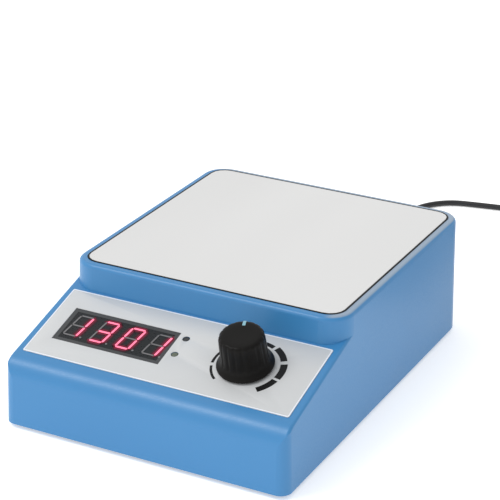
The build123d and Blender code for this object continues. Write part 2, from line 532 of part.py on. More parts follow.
# ---------------------------------------------------------------- plug in the jack
GRIP_LENGTH = 16.0
BOOT_LENGTH = 17.0
grip_end = REAR_FACE_Y + GRIP_LENGTH
boot_end = grip_end + BOOT_LENGTH
grip = rod(5.2, REAR_FACE_Y, grip_end)
grip = fillet(grip.edges().group_by(Axis.Z)[-1], 0.8)
grip = chamfer(grip.edges().group_by(Axis.Z)[0], 0.5)
plug_body = grip + taper(4.0, 2.3, grip_end, boot_end) - rod(BARREL_RADIUS, REAR_FACE_Y, REAR_FACE_Y + 6)
write("dc_plug_body", on_jack * plug_body)
write("dc_plug_barrel", on_jack * ring(BARREL_RADIUS, 1.05, REAR_FACE_Y - 9.5, REAR_FACE_Y + 6))

# ---------------------------------------------------------------- cord, coil and tie
COIL_CENTRE = (104.0, 222.0)
COIL_LOW = 0.6
COIL_RINGS = (16.2, 19.3)
COIL_LAYERS = 4
COIL_TURNS = 8.25
TIE_WALL = 0.5
ADAPTER_X = 128.0
ADAPTER_BACK_Y = 174.0
ADAPTER_BOOT = 16.0
ADAPTER_HEIGHT = 27.0

cord_rest = CORD_RADIUS + 0.05
coil_entry = (COIL_CENTRE[0], COIL_CENTRE[1] + COIL_RINGS[-1], COIL_LOW + CORD_RADIUS)
coil_exit = (COIL_CENTRE[0] + COIL_RINGS[-1], COIL_CENTRE[1],
             COIL_LOW + CORD_RADIUS * (2 * COIL_LAYERS - 1))
lead_route = [
    (JACK_X, boot_end, JACK_Z), (JACK_X, 138, JACK_Z), (-13.6, 153, 19.2), (-12.6, 169, 11.0),
    (-11.6, 185, 4.4), (-10, 199, cord_rest), (-7, 211.5, cord_rest), (-2.3, 222.6, cord_rest),
    (7, 231.4, cord_rest), (20, 234.6, cord_rest), (41, 238.7, cord_rest),
    (62, 241.2, cord_rest), (83, 242, 1.8), coil_entry,
]
tail_route = [
    coil_exit, (coil_exit[0], 215, coil_exit[2]),
    (coil_exit[0] + 1.3, 208.6, 11.8), (ADAPTER_X - 1.3, 202.6, 12.9),
    (ADAPTER_X, 197, ADAPTER_HEIGHT / 2), (ADAPTER_X, ADAPTER_BACK_Y + ADAPTER_BOOT, ADAPTER_HEIGHT / 2),
]
lead_tube, lead_length = cord_tube("adapter_lead", lead_route)
tail_tube, tail_length = cord_tube("adapter_tail", tail_route)
write("adapter_lead", lead_tube)
write("adapter_tail", tail_tube)
coil_outer = COIL_RINGS[-1] + CORD_RADIUS
coil_inner = COIL_RINGS[0] - CORD_RADIUS
coil_high = COIL_LOW + 2 * CORD_RADIUS * COIL_LAYERS
write("lead_coil", ring(coil_outer, coil_inner, COIL_LOW, coil_high, *COIL_CENTRE))
coil_length = COIL_TURNS * pi * (COIL_RINGS[0] + COIL_RINGS[-1])
print("whole cord", round(lead_length + coil_length + tail_length))

tie_low = COIL_LOW - TIE_WALL
tie_span = coil_outer - coil_inner
tie_x = COIL_CENTRE[0] - (COIL_RINGS[0] + COIL_RINGS[-1]) / 2
tie = block(tie_span + 2 * TIE_WALL + 0.4, 4, tie_low, coil_high + TIE_WALL, tie_x, COIL_CENTRE[1])
tie -= block(tie_span + 0.4, 4, COIL_LOW, coil_high, tie_x, COIL_CENTRE[1])
write("coil_tie", tie)

# ---------------------------------------------------------------- plug-in adapter
ADAPTER_SIZE = (40.0, 68.0)
BLADE_PITCH = 12.7
LID_LOW = 19.0
adapter_y = ADAPTER_BACK_Y - ADAPTER_SIZE[1] / 2
blade_y = adapter_y - 20
outer = block(*ADAPTER_SIZE, 0, ADAPTER_HEIGHT, ADAPTER_X, adapter_y, 4)
outer = fillet(outer.edges().group_by(Axis.Z)[-1], 1.5)
outer = fillet(outer.edges().group_by(Axis.Z)[0], 1.5)
hollow = block(ADAPTER_SIZE[0] - 4, ADAPTER_SIZE[1] - 4, 2, ADAPTER_HEIGHT - 2,
               ADAPTER_X, adapter_y, 2)
above = block(100, 100, LID_LOW, 60, ADAPTER_X, adapter_y)
blades = [block(1.5, 6.35, ADAPTER_HEIGHT - 2, ADAPTER_HEIGHT + 16, ADAPTER_X + side, blade_y)
          for side in (-BLADE_PITCH / 2, BLADE_PITCH / 2)]
blades = [chamfer(blade.edges().group_by(Axis.Z)[-1], 0.4) for blade in blades]
boot_axis = Plane(origin=(ADAPTER_X, 0, ADAPTER_HEIGHT / 2), x_dir=(-1, 0, 0), z_dir=(0, 1, 0))
boot = taper(3.4, 2.3, ADAPTER_BACK_Y, ADAPTER_BACK_Y + ADAPTER_BOOT)
boot += rod(3.4, ADAPTER_BACK_Y - 2, ADAPTER_BACK_Y)
boot = boot_axis.location * boot
shell = outer - hollow - boot_axis.location * rod(3.4, ADAPTER_BACK_Y - 3, ADAPTER_BACK_Y + 1)
for blade in blades:
    shell -= blade
inner_board = block(34, 60, 6, 7.6, ADAPTER_X, adapter_y)
transformer = block(18, 20, 7.6, 22, ADAPTER_X - 4, adapter_y + 8, 1)
big_capacitor = rod(5, 7.6, 21, ADAPTER_X + 10, adapter_y - 6)
ledges = [block(ADAPTER_SIZE[0] - 4, 2, 2, 6, ADAPTER_X, adapter_y + end) for end in (-29, 29)]
for ledge in ledges:
    shell += ledge
write("adapter_board", inner_board, transformer, big_capacitor)
write("adapter_case", shell - above)
write("adapter_lid", shell & above)
write("adapter_blades", *blades)
write("adapter_boot", boot)
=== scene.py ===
from math import cos, pi, radians, sin, tau

import bmesh
import bpy
from mathutils import Matrix, Vector


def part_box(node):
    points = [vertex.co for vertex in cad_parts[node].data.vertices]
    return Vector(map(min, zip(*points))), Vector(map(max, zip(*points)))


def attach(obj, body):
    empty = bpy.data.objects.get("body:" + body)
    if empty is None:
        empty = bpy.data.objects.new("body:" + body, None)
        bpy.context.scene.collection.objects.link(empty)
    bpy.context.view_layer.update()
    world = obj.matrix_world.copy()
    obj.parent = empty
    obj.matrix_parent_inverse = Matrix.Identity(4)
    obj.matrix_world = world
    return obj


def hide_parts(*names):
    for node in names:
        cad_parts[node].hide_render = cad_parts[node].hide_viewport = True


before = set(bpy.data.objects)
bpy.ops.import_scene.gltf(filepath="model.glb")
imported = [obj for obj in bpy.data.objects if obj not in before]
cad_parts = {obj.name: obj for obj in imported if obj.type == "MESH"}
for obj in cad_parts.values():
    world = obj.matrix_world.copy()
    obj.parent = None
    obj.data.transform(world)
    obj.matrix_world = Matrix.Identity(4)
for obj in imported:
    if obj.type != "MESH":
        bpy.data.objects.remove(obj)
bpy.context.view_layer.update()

# named sizes and places are in millimetres, and this makes them metres
MM = 0.001

# ---------------------------------------------------------------- viewpoint
# The stirrer stands on the table with its control panel to the front.  It is seen from
# the front right and a little above, through a long lens that keeps its edges nearly
# parallel.
EYE_TILT = radians(0.788)
eye = Vector((0.344589, -0.675272, 0.387051))
aim = Vector((0.025546, -0.047261, 0.082569))
lens = bpy.data.cameras.new("viewpoint")
lens.lens = 136.265
lens.sensor_width = 36
viewpoint = bpy.data.objects.new("viewpoint", lens)
bpy.context.scene.collection.objects.link(viewpoint)
turned = (aim - eye).to_track_quat("-Z", "Y").to_matrix().to_4x4()
viewpoint.matrix_world = Matrix.Translation(eye) @ turned @ Matrix.Rotation(EYE_TILT, 4, "Z")
bpy.context.scene.camera = viewpoint

# ---------------------------------------------------------------- adapter's lead
# A thin round two-core lead in soft black PVC.  It leaves the plug in the rear wall, falls
# to the table, swings to the right and is wound into a round coil beside the adapter.
JACK_X = -14.0
JACK_Z = 24.0
LEAD_DIAMETER = 3.1
LEAD_START = (JACK_X, 125.92, JACK_Z)
LEAD_ROUTE = [
    LEAD_START, (-14, 138, 24), (-13.6, 153, 19.2), (-12.6, 169, 11), (-11.6, 185, 4.4),
    (-10, 199, 1.6), (-7, 211.5, 1.6), (-2.3, 222.6, 1.6), (7, 231.4, 1.6), (20, 234.6, 1.6),
    (41, 238.7, 1.6), (62, 241.2, 1.6), (83, 242, 1.8),
]
TAIL_ROUTE = [(123.3, 215, 11.45), (124.6, 208.6, 11.8), (126.7, 202.6, 12.9), (128, 197, 13.5),
              (128, 190, 13.5)]
COIL_CENTRE = (104.0, 222.0)
COIL_RINGS = (19.3, 16.2)
COIL_FLOOR = 2.15
COIL_TURNS = 8.25
COIL_STEPS = 24
# the part of each turn that is laid before the lead shifts over to the next place
COIL_DWELL = 0.72
# ring and layer of each turn, in the order in which they are laid
COIL_ORDER = [(0, 0), (1, 0), (1, 1), (0, 1), (0, 2), (1, 2), (1, 3), (0, 3), (0, 3)]


def own_material(name, colour, roughness, **sockets):
    """Material with one shader; returns it with its node tree and its shader."""
    material = bpy.data.materials.new(name)
    material.use_nodes = True
    tree = material.node_tree
    shader = tree.nodes["Principled BSDF"]
    shader.inputs["Base Color"].default_value = (*colour, 1)
    shader.inputs["Roughness"].default_value = roughness
    for socket, value in sockets.items():
        shader.inputs[socket.replace("_", " ")].default_value = value
    return material, tree, shader


def noise(tree, scale, detail=3.0, stretch=(1, 1, 1)):
    """Noise on the piece's own coordinates, with the size of its grain given per metre."""
    place = tree.nodes.new("ShaderNodeTexCoord")
    spread = tree.nodes.new("ShaderNodeMapping")
    spread.inputs["Scale"].default_value = stretch
    grain = tree.nodes.new("ShaderNodeTexNoise")
    grain.inputs["Scale"].default_value = scale
    grain.inputs["Detail"].default_value = detail
    tree.links.new(place.outputs["Object"], spread.inputs["Vector"])
    tree.links.new(spread.outputs["Vector"], grain.inputs["Vector"])
    return grain.outputs["Fac"]


def ramp(tree, value, stops, socket):
    """Colour ramp from a value into a socket; each stop is a place and a colour."""
    node = tree.nodes.new("ShaderNodeValToRGB")
    while len(node.color_ramp.elements) < len(stops):
        node.color_ramp.elements.new(0.5)
    for element, (place, colour) in zip(node.color_ramp.elements, stops):
        element.position = place
        element.color = (*colour, 1)
    tree.links.new(value, node.inputs["Fac"])
    tree.links.new(node.outputs["Color"], socket)


def bump(tree, shader, value, height, strength=0.5):
    """Fine relief from a value, with its height in metres."""
    node = tree.nodes.new("ShaderNodeBump")
    node.inputs["Strength"].default_value = strength
    node.inputs["Distance"].default_value = height
    tree.links.new(value, node.inputs["Height"])
    tree.links.new(node.outputs["Normal"], shader.inputs["Normal"])


def moulded(name, dark, light, roughness, grain=900, height=0.00003, **sockets):
    """Moulded plastic or rubber: a fine grain, and a faint drift of colour and gloss."""
    material, tree, shader = own_material(name, light, roughness, **sockets)
    drift = noise(tree, 14, 2)
    ramp(tree, drift, [(0.3, dark), (0.7, light)], shader.inputs["Base Color"])
    fine = noise(tree, grain, 4)
    low, high = [roughness - 0.06] * 3, [roughness + 0.06] * 3
    ramp(tree, fine, [(0.3, low), (0.7, high)], shader.inputs["Roughness"])
    bump(tree, shader, fine, height)
    return material


def eased(part):
    """The same part of a change, with a soft start and a soft end."""
    return part * part * (3 - 2 * part)


def coil_place(turn):
    """Centre of the wound lead after so many turns; it shifts over in each turn's last part."""
    whole = min(int(turn), len(COIL_ORDER) - 2)
    shift = eased(min(1.0, max(0.0, (turn - whole - COIL_DWELL) / (1 - COIL_DWELL))))
    (ring, layer), (next_ring, next_layer) = COIL_ORDER[whole:whole + 2]
    radius = COIL_RINGS[ring] * (1 - shift) + COIL_RINGS[next_ring] * shift
    layer = layer * (1 - shift) + next_layer * shift
    angle = pi / 2 - tau * turn
    return (COIL_CENTRE[0] + radius * cos(angle), COIL_CENTRE[1] + radius * sin(angle),
            COIL_FLOOR + LEAD_DIAMETER * layer)


coil = [coil_place(step / COIL_STEPS) for step in range(int(COIL_TURNS * COIL_STEPS) + 1)]
curve = bpy.data.curves.new("adapter_cord", "CURVE")
curve.dimensions = "3D"
curve.bevel_depth = LEAD_DIAMETER / 2 * MM
curve.bevel_resolution = 4
curve.resolution_u = 6
curve.use_fill_caps = True
spline = curve.splines.new("NURBS")
route = LEAD_ROUTE + coil + TAIL_ROUTE
spline.points.add(len(route) - 1)
for point, place in zip(spline.points, route):
    point.co = (*(Vector(place) * MM), 1)
spline.order_u = 3
spline.use_endpoint_u = True
cord_black = moulded("cord_pvc", (0.008, 0.008, 0.009), (0.014, 0.014, 0.015), 0.38,
                     grain=700, height=0.00002)
curve.materials.append(cord_black)
cord = bpy.data.objects.new("adapter_cord", curve)
bpy.context.scene.collection.objects.link(cord)
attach(cord, "housing")
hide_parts("adapter_lead", "lead_coil", "adapter_tail")


def paint(material, *nodes):
    """Gives CAD pieces a finish."""
    for node in nodes:
        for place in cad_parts[node].material_slots:
            place.material = material


def finish_piece(name, mesh_edit, material, body, stands_for=(), *, smooth_angle=35.0):
    """Makes one piece from a bmesh, with smooth shading broken at its sharp edges."""
    for edge in mesh_edit.edges:
        edge.smooth = len(edge.link_faces) == 2 and edge.calc_face_angle(0) < radians(smooth_angle)
    for face in mesh_edit.faces:
        face.smooth = True
    mesh = bpy.data.meshes.new(name)
    mesh_edit.to_mesh(mesh)
    mesh_edit.free()
    mesh.materials.append(material)
    piece = bpy.data.objects.new(name, mesh)
    bpy.context.scene.collection.objects.link(piece)
    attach(piece, body)
    if stands_for:
        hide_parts(*stands_for)
    return piece


def softened(node, name, material, body, width):
    """A CAD piece again, with its hard edges rounded over."""
    edit = bmesh.new()
    edit.from_mesh(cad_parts[node].data)
    bmesh.ops.remove_doubles(edit, verts=edit.verts, dist=1e-6)
    bmesh.ops.dissolve_limit(edit, angle_limit=radians(1), verts=edit.verts, edges=edit.edges)
    hard = [edge for edge in edit.edges
            if len(edge.link_faces) == 2 and edge.calc_face_angle(0) > radians(40)]
    bmesh.ops.bevel(edit, geom=hard, offset=width, offset_type="OFFSET", segments=2,
                    profile=0.5, affect="EDGES", clamp_overlap=True, material=-1)
    return finish_piece(name, edit, material, body, (node,))


# ---------------------------------------------------------------- plug and strain relief
# The straight low-voltage plug: a nickel-plated barrel in a black moulded grip, with a
# ribbed sleeve that keeps the lead from kinking.
black_mould = moulded("black_mould", (0.012, 0.012, 0.013), (0.02, 0.02, 0.021), 0.45, grain=1200)
GRIP_START = 92.92
GRIP_PROFILE = [
    (2.76, 0.0), (4.6, 0.0), (5.1, 0.5), (5.2, 2.0), (5.2, 3.4), (4.7, 3.9), (4.7, 4.6), (5.2, 5.1),
    (5.2, 6.0), (4.7, 6.5), (4.7, 7.2), (5.2, 7.7), (5.2, 8.6), (4.7, 9.1), (4.7, 9.8),
    (5.2, 10.3), (5.2, 14.6), (4.9, 15.6), (4.2, 16.0), (4.0, 16.0),
]
RIB_SHARE = 0.55
RIB_HEIGHT = 0.45


def spun(profile, steps=48):
    """Closed body of revolution about z from a profile of radius and height in millimetres."""
    edit = bmesh.new()
    line = [edit.verts.new((radius * MM, 0, height * MM)) for radius, height in profile]
    for one, other in zip(line, line[1:]):
        edit.edges.new((one, other))
    bmesh.ops.spin(edit, geom=edit.verts[:] + edit.edges[:], cent=(0, 0, 0), axis=(0, 0, 1),
                   angle=tau, steps=steps, use_merge=True)
    bmesh.ops.remove_doubles(edit, verts=edit.verts, dist=1e-7)
    bmesh.ops.holes_fill(edit, edges=[e for e in edit.edges if len(e.link_faces) == 1], sides=0)
    bmesh.ops.recalc_face_normals(edit, faces=edit.faces)
    return edit


def sleeve_ribs(start, length, wide, narrow, count):
    """Profile of a tapering strain relief with square ribs."""
    ribs = []
    for rib in range(count):
        near, far = rib / count, (rib + RIB_SHARE) / count
        corners = [(near, 0.0), (far, 0.0), (far, RIB_HEIGHT), (near + 1 / count, RIB_HEIGHT)]
        for part, drop in corners:
            ribs.append((wide + (narrow - wide) * part - drop, start + length * part))
    return ribs[:-1]


pointing_back = Matrix.Rotation(-pi / 2, 4, "X")
grip_ribs = sleeve_ribs(start=16.2, length=16.6, wide=4.0, narrow=2.45, count=7)
grip = spun(GRIP_PROFILE + grip_ribs + [(1.6, 33.0)])
to_plug = Matrix.Translation((JACK_X * MM, GRIP_START * MM, JACK_Z * MM)) @ pointing_back
bmesh.ops.transform(grip, matrix=to_plug, verts=grip.verts)
plug_grip = finish_piece("plug_grip", grip, black_mould, "housing", ("dc_plug_body",))

# ---------------------------------------------------------------- plug-in adapter
# A two-part black case, glued together along a fine seam, with two brass blades and a
# tapering sleeve where the lead goes in.
blade_brass, tree, shader = own_material("blade_brass", (0.72, 0.6, 0.36), 0.28, Metallic=1.0)
bump(tree, shader, noise(tree, 500, 3, (1, 1, 0.05)), 0.00003)
paint(black_mould, "adapter_case", "adapter_lid")
paint(blade_brass, "adapter_blades")

BOOT_START = (128.0, 172.0, 13.5)
boot_ribs = sleeve_ribs(start=2.2, length=15.6, wide=3.4, narrow=2.4, count=6)
sleeve = spun([(0.4, 0), (3.4, 0.0), (3.4, 2.0)] + boot_ribs + [(1.6, 18.0)])
to_boot = Matrix.Translation(Vector(BOOT_START) * MM) @ pointing_back
bmesh.ops.transform(sleeve, matrix=to_boot, verts=sleeve.verts)
adapter_sleeve = finish_piece("adapter_sleeve", sleeve, black_mould, "housing", ("adapter_boot",))
coil_band = softened("coil_tie", "coil_band", black_mould, "housing", width=0.00015)

# ---------------------------------------------------------------- housing
# One thin-walled moulding in sky-blue ABS with a smooth, slightly glossy skin: the raised
# box for the plate, the sloping panel and the rounded front edge.
# colour of the painted reflection on the rim, and where it lies across, back and up the housing, in
# millimetres
RIM_REFLECTION_COLOUR = (0.26, 0.35, 0.46)
RIM_RIGHT = (55, 60)
RIM_REAR = (85, 90)
RIM_TOP = (56.0, 56.5)
housing_blue = moulded("housing_abs", (0.0425, 0.216, 0.468), (0.0455, 0.227, 0.487), 0.36,
                       grain=1500, height=0.00001)
paint(housing_blue, "housing_shell")

# painted reflection: the rim is paler along its right and rear edges than the walls below it, a
# gloss reflection painted into the housing's colour
tree = housing_blue.node_tree
shader = tree.nodes["Principled BSDF"]
place = tree.nodes.new("ShaderNodeTexCoord")
split = tree.nodes.new("ShaderNodeSeparateXYZ")
tree.links.new(place.outputs["Object"], split.inputs["Vector"])


def rising(axis, low, high):
    """Value that rises from nothing to one between two places along one of the housing's axes."""
    measure = tree.nodes.new("ShaderNodeMapRange")
    measure.interpolation_type = "SMOOTHSTEP"
    measure.inputs["From Min"].default_value = low * MM
    measure.inputs["From Max"].default_value = high * MM
    tree.links.new(split.outputs[axis], measure.inputs["Value"])
    return measure.outputs["Result"]


def joined(operation, one, other):
    """Result of one operation on two values."""
    node = tree.nodes.new("ShaderNodeMath")
    node.operation = operation
    tree.links.new(one, node.inputs[0])
    tree.links.new(other, node.inputs[1])
    return node.outputs["Value"]


edges = joined("MAXIMUM", rising("X", *RIM_RIGHT), rising("Y", *RIM_REAR))
reflection_part = joined("MULTIPLY", edges, rising("Z", *RIM_TOP))
# painted reflection: the pale colour is mixed into the skin along the rim's right and rear edges
painted_reflection = tree.nodes.new("ShaderNodeMix")
painted_reflection.data_type = "RGBA"
skin = shader.inputs["Base Color"].links[0].from_socket
tree.links.new(reflection_part, painted_reflection.inputs["Factor"])
tree.links.new(skin, painted_reflection.inputs["A"])
painted_reflection.inputs["B"].default_value = (*RIM_REFLECTION_COLOUR, 1)
tree.links.new(painted_reflection.outputs["Result"], shader.inputs["Base Color"])

# ---------------------------------------------------------------- underside
# A flat black cover closes the case from below.  It is held by four screws and carries
# four round rubber feet.
cover_mould = moulded("cover_mould", (0.016, 0.016, 0.017), (0.026, 0.026, 0.027), 0.55, grain=1100)
foot_rubber = moulded("foot_rubber", (0.012, 0.012, 0.012), (0.02, 0.02, 0.02), 0.8,
                      grain=1500, height=0.00005)
paint(cover_mould, "bottom_cover")
paint(foot_rubber, "rubber_feet", "plate_gasket")

screw_steel, tree, shader = own_material("screw_steel", (0.52, 0.51, 0.49), 0.32, Metallic=1.0)
bump(tree, shader, noise(tree, 1800, 2), 0.00002)
paint(screw_steel, "cover_screws", "bracket_screws", "motor_screws", "display_board_screws",
      "driver_board_screws", "carrier_set_screw", "pot_washer", "pot_nut", "pot_shaft", "pot_case",
      "motor_shaft", "jack_nut", "dc_plug_barrel")

# ---------------------------------------------------------------- top plate
# A flat sheet of polished stainless steel, bedded on a thin black gasket in the box's
# recess.  Its surface is almost a mirror, with a faint lengthwise grain.
plate_steel, tree, shader = own_material("plate_steel", (0.78, 0.78, 0.775), 0.14, Metallic=1.0)
ramp(tree, noise(tree, 9, 2, (1, 0.25, 1)),
     [(0.3, (0.74, 0.74, 0.735)), (0.7, (0.81, 0.81, 0.805))], shader.inputs["Base Color"])
smear = noise(tree, 30, 3)
ramp(tree, smear, [(0.3, (0.13, 0.13, 0.13)), (0.7, (0.2, 0.2, 0.2))], shader.inputs["Roughness"])
bump(tree, shader, noise(tree, 900, 3, (1, 0.02, 1)), 0.000004, 0.3)
paint(plate_steel, "top_plate")
seam_black = moulded("seam_black", (0.010, 0.011, 0.012), (0.016, 0.017, 0.018), 0.6,
                     grain=1500, height=0.00001, Specular_IOR_Level=0.2)
SEAM_FOOT = 56.5
SEAM_HEIGHT = 0.33
SEAM_BORDER = 0.75
SEAM_CORNER = 7.6


def flat_frame(name, size, border, place, material, corner=0.0, thickness=0.05):
    """Thin flat frame from its outside size and the width of its border, put on a surface.

    Its sizes are in millimetres, and so are its corners' radius and its thickness.
    """
    edit = bmesh.new()
    bmesh.ops.create_grid(edit, x_segments=1, y_segments=1, size=0.5)
    bmesh.ops.scale(edit, vec=(size[0] * MM, size[1] * MM, 1), verts=edit.verts)
    if corner:
        bmesh.ops.bevel(edit, geom=edit.verts[:], offset=corner * MM, offset_type="OFFSET",
                        segments=4, profile=0.5, affect="VERTICES", material=-1)
    middle = edit.faces[:]
    bmesh.ops.inset_region(edit, faces=middle, thickness=border * MM, depth=0, use_boundary=True,
                           use_even_offset=True)
    bmesh.ops.delete(edit, geom=middle, context="FACES")
    bmesh.ops.recalc_face_normals(edit, faces=edit.faces)
    if edit.faces[:][0].normal.z < 0:
        bmesh.ops.reverse_faces(edit, faces=edit.faces)
    grown = bmesh.ops.extrude_face_region(edit, geom=edit.faces[:])
    lifted = [item for item in grown["geom"] if isinstance(item, bmesh.types.BMVert)]
    bmesh.ops.translate(edit, vec=(0, 0, thickness * MM), verts=lifted)
    bmesh.ops.recalc_face_normals(edit, faces=edit.faces)
    bmesh.ops.transform(edit, matrix=place, verts=edit.verts)
    finish_piece(name, edit, material, "housing")


# a black frame fills the gap round the plate, level with its edge, so that the gap shows dark
gap_low, gap_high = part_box("plate_gasket")
seam_size = [(gap_high[axis] - gap_low[axis]) / MM for axis in (0, 1)]
seam_middle = [(gap_low[axis] + gap_high[axis]) / 2 for axis in (0, 1)]
flat_frame("plate_seam", seam_size, SEAM_BORDER, Matrix.Translation((*seam_middle, SEAM_FOOT * MM)),
           seam_black, SEAM_CORNER, SEAM_HEIGHT)

# ---------------------------------------------------------------- panel label
# A pale grey printed film, stuck on the slope.  Its cut edge stands a little proud, and the light
# it catches is a painted highlight: a thin pale bluish frame round the film.
label_film, tree, shader = own_material("label_film", (0.58, 0.60, 0.61), 0.36)
ramp(tree, noise(tree, 22, 2), [(0.25, (0.56, 0.575, 0.585)), (0.75, (0.60, 0.61, 0.615))],
     shader.inputs["Base Color"])
bump(tree, shader, noise(tree, 1600, 2), 0.000006)
softened("panel_label", "label_sheet", label_film, "housing", width=0.0001)

SLOPE = radians(15.8)
PANEL_FRONT = (0, -92.77203, 29.8)
to_panel = Matrix.Translation([part * MM for part in PANEL_FRONT]) @ Matrix.Rotation(SLOPE, 4, "X")
LABEL_MIDDLE = (0, 30.6)
LABEL_TOP = 0.3
EDGE_SIZE = (124.1, 42.5)
EDGE_BORDER = 0.45
EDGE_CORNER = 0.7
# painted highlight: this pale bluish colour stands for the light caught by the label's cut edge
painted_edge_highlight = moulded("painted_edge_highlight", (0.80, 0.84, 0.92), (0.84, 0.88, 0.95), 0.3,
                      grain=2000, height=0.000005)


def on_panel(across, up, height):
    """Place on the panel, in millimetres across it, up it and off it."""
    return to_panel @ Matrix.Translation((across * MM, up * MM, height * MM))


# painted highlight: a thin pale frame laid round the label in place of light caught by its edge
flat_frame("label_border_highlight", EDGE_SIZE, EDGE_BORDER, on_panel(*LABEL_MIDDLE, LABEL_TOP - 0.01),
           painted_edge_highlight, EDGE_CORNER)

# ---------------------------------------------------------------- speed scale
# Seven printed arcs round the knob, which grow from a thin line to a broad bar as the
# speed rises clockwise.
KNOB_PLACE = (32.3, 31.2)
PRINT_THICKNESS = 0.03
# first and last angle of each arc, and its inner and outer radius
SCALE_ARCS = [
    (198.0, 233.0, 13.8, 14.9), (157.0, 191.0, 13.8, 15.0), (113.0, 151.0, 14.0, 15.5),
    (67.0, 106.0, 14.2, 16.2), (29.0, 61.5, 14.2, 17.0), (-10.5, 22.0, 14.2, 17.2),
    (-48.0, -15.0, 14.2, 17.1),
]
print_black = moulded("print_ink", (0.004, 0.004, 0.004), (0.007, 0.007, 0.007), 0.5,
                      grain=2500, height=0.000005, Specular_IOR_Level=0.2)
scale_print = bmesh.new()
for first, last, near, far in SCALE_ARCS:
    begin = Matrix.Rotation(radians(first), 4, "Z")
    ends = [scale_print.verts.new(begin @ Vector((reach * MM, 0, (LABEL_TOP + 0.01) * MM)))
            for reach in (near, far)]
    edge = scale_print.edges.new(ends)
    bmesh.ops.spin(scale_print, geom=[*ends, edge], cent=(0, 0, 0), axis=(0, 0, 1),
                   angle=radians(last - first), steps=16)
bmesh.ops.recalc_face_normals(scale_print, faces=scale_print.faces)
if scale_print.faces[:][0].normal.z < 0:
    bmesh.ops.reverse_faces(scale_print, faces=scale_print.faces)
bmesh.ops.solidify(scale_print, geom=scale_print.faces[:], thickness=PRINT_THICKNESS * MM)
at_knob = on_panel(*KNOB_PLACE, 0)
bmesh.ops.transform(scale_print, matrix=at_knob, verts=scale_print.verts)
finish_piece("speed_scale", scale_print, print_black, "housing")

# ---------------------------------------------------------------- display
# A four-digit seven-segment module with a dark face, set a little below the label.  The lit bars
# glow pink-red, with their spill of red light painted onto the face round them, and the others show
# as dull grey.
DISPLAY_MIDDLE = (-28.6, 30.5)
BEZEL_SIZE = (51.4, 20.9)
BEZEL_BORDER = 1.9
DIGIT_PITCH = 12.73
FIRST_DIGIT = (-47.3, 30.8)
DIGIT_HALF = (3.1, 6.35)
LEAN = 0.14
LIT = {0: "bc", 1: "abgcd", 2: "abcdef", 3: "bc"}
POINT_ACROSS = 4.5
POINT_UP = 24.4
POINT_RADIUS = 0.5
BAR_THICKNESS = 0.06
display_face = moulded("display_face", (0.014, 0.016, 0.018), (0.02, 0.022, 0.024), 0.3,
                       grain=1500, height=0.000005, Specular_IOR_Level=0.15)
bar_lit, tree, shader = own_material("bar_lit", (0.85, 0.15, 0.25), 0.4, Emission_Strength=0.75)
shader.inputs["Emission Color"].default_value = (1.0, 0.20, 0.32, 1)
ramp(tree, noise(tree, 700, 1), [(0.3, (0.80, 0.10, 0.2)), (0.7, (0.9, 0.16, 0.28))],
     shader.inputs["Base Color"])
# painted light: a faint red glow, wider than the bars, spread round them on the face
bar_glow, tree, shader = own_material("bar_glow", (0.12, 0.008, 0.022), 0.3, Emission_Strength=0.05,
                                      Specular_IOR_Level=0.15)
shader.inputs["Emission Color"].default_value = (1.0, 0.03, 0.12, 1)
ramp(tree, noise(tree, 500, 1), [(0.3, (0.09, 0.008, 0.02)), (0.7, (0.14, 0.01, 0.03))],
     shader.inputs["Base Color"])
# painted light: the halo is a dull red spill of the lit bars' light, painted on the face round them
bar_halo = moulded("bar_halo", (0.036, 0.010, 0.016), (0.05, 0.012, 0.02), 0.3,
                   grain=1500, height=0.000005, Specular_IOR_Level=0.15)
bar_dull = moulded("bar_dull", (0.14, 0.135, 0.14), (0.19, 0.185, 0.19), 0.5,
                   grain=1500, height=0.000005)
bezel_grey = moulded("bezel_grey", (0.05, 0.053, 0.056), (0.07, 0.073, 0.076), 0.4,
                     grain=1500, height=0.000005, Specular_IOR_Level=0.2)
paint(display_face, "display_module")
flat_frame("display_bezel", BEZEL_SIZE, BEZEL_BORDER, on_panel(*DISPLAY_MIDDLE, 0.02), bezel_grey)


def bar_outline(start, finish, width, gap):
    """Six corners of a bar with pointed ends, between two places on a digit's frame."""
    along = (Vector(finish) - Vector(start)).normalized()
    across = Vector((-along.y, along.x)) * width / 2
    start, finish = Vector(start) + along * gap, Vector(finish) - along * gap
    inset = along * width / 2
    return [start, start + inset - across, finish - inset - across, finish,
            finish - inset + across, start + inset + across]


def digit_bars(digit, width, gap):
    """Outlines of one digit's seven bars by letter, leaning to the right."""
    half_width, half_height = DIGIT_HALF
    corner = {"tl": (-half_width, half_height), "tr": (half_width, half_height),
              "ml": (-half_width, 0), "mr": (half_width, 0),
              "bl": (-half_width, -half_height), "br": (half_width, -half_height)}
    ends = {"a": ("tl", "tr"), "b": ("tr", "mr"), "c": ("mr", "br"), "d": ("br", "bl"),
            "e": ("bl", "ml"), "f": ("ml", "tl"), "g": ("ml", "mr")}
    for letter, (one, other) in ends.items():
        yield letter, [
            ((FIRST_DIGIT[0] + DIGIT_PITCH * digit + spot.x + LEAN * spot.y) * MM,
             (FIRST_DIGIT[1] + spot.y) * MM)
            for spot in bar_outline(corner[one], corner[other], width, gap)]


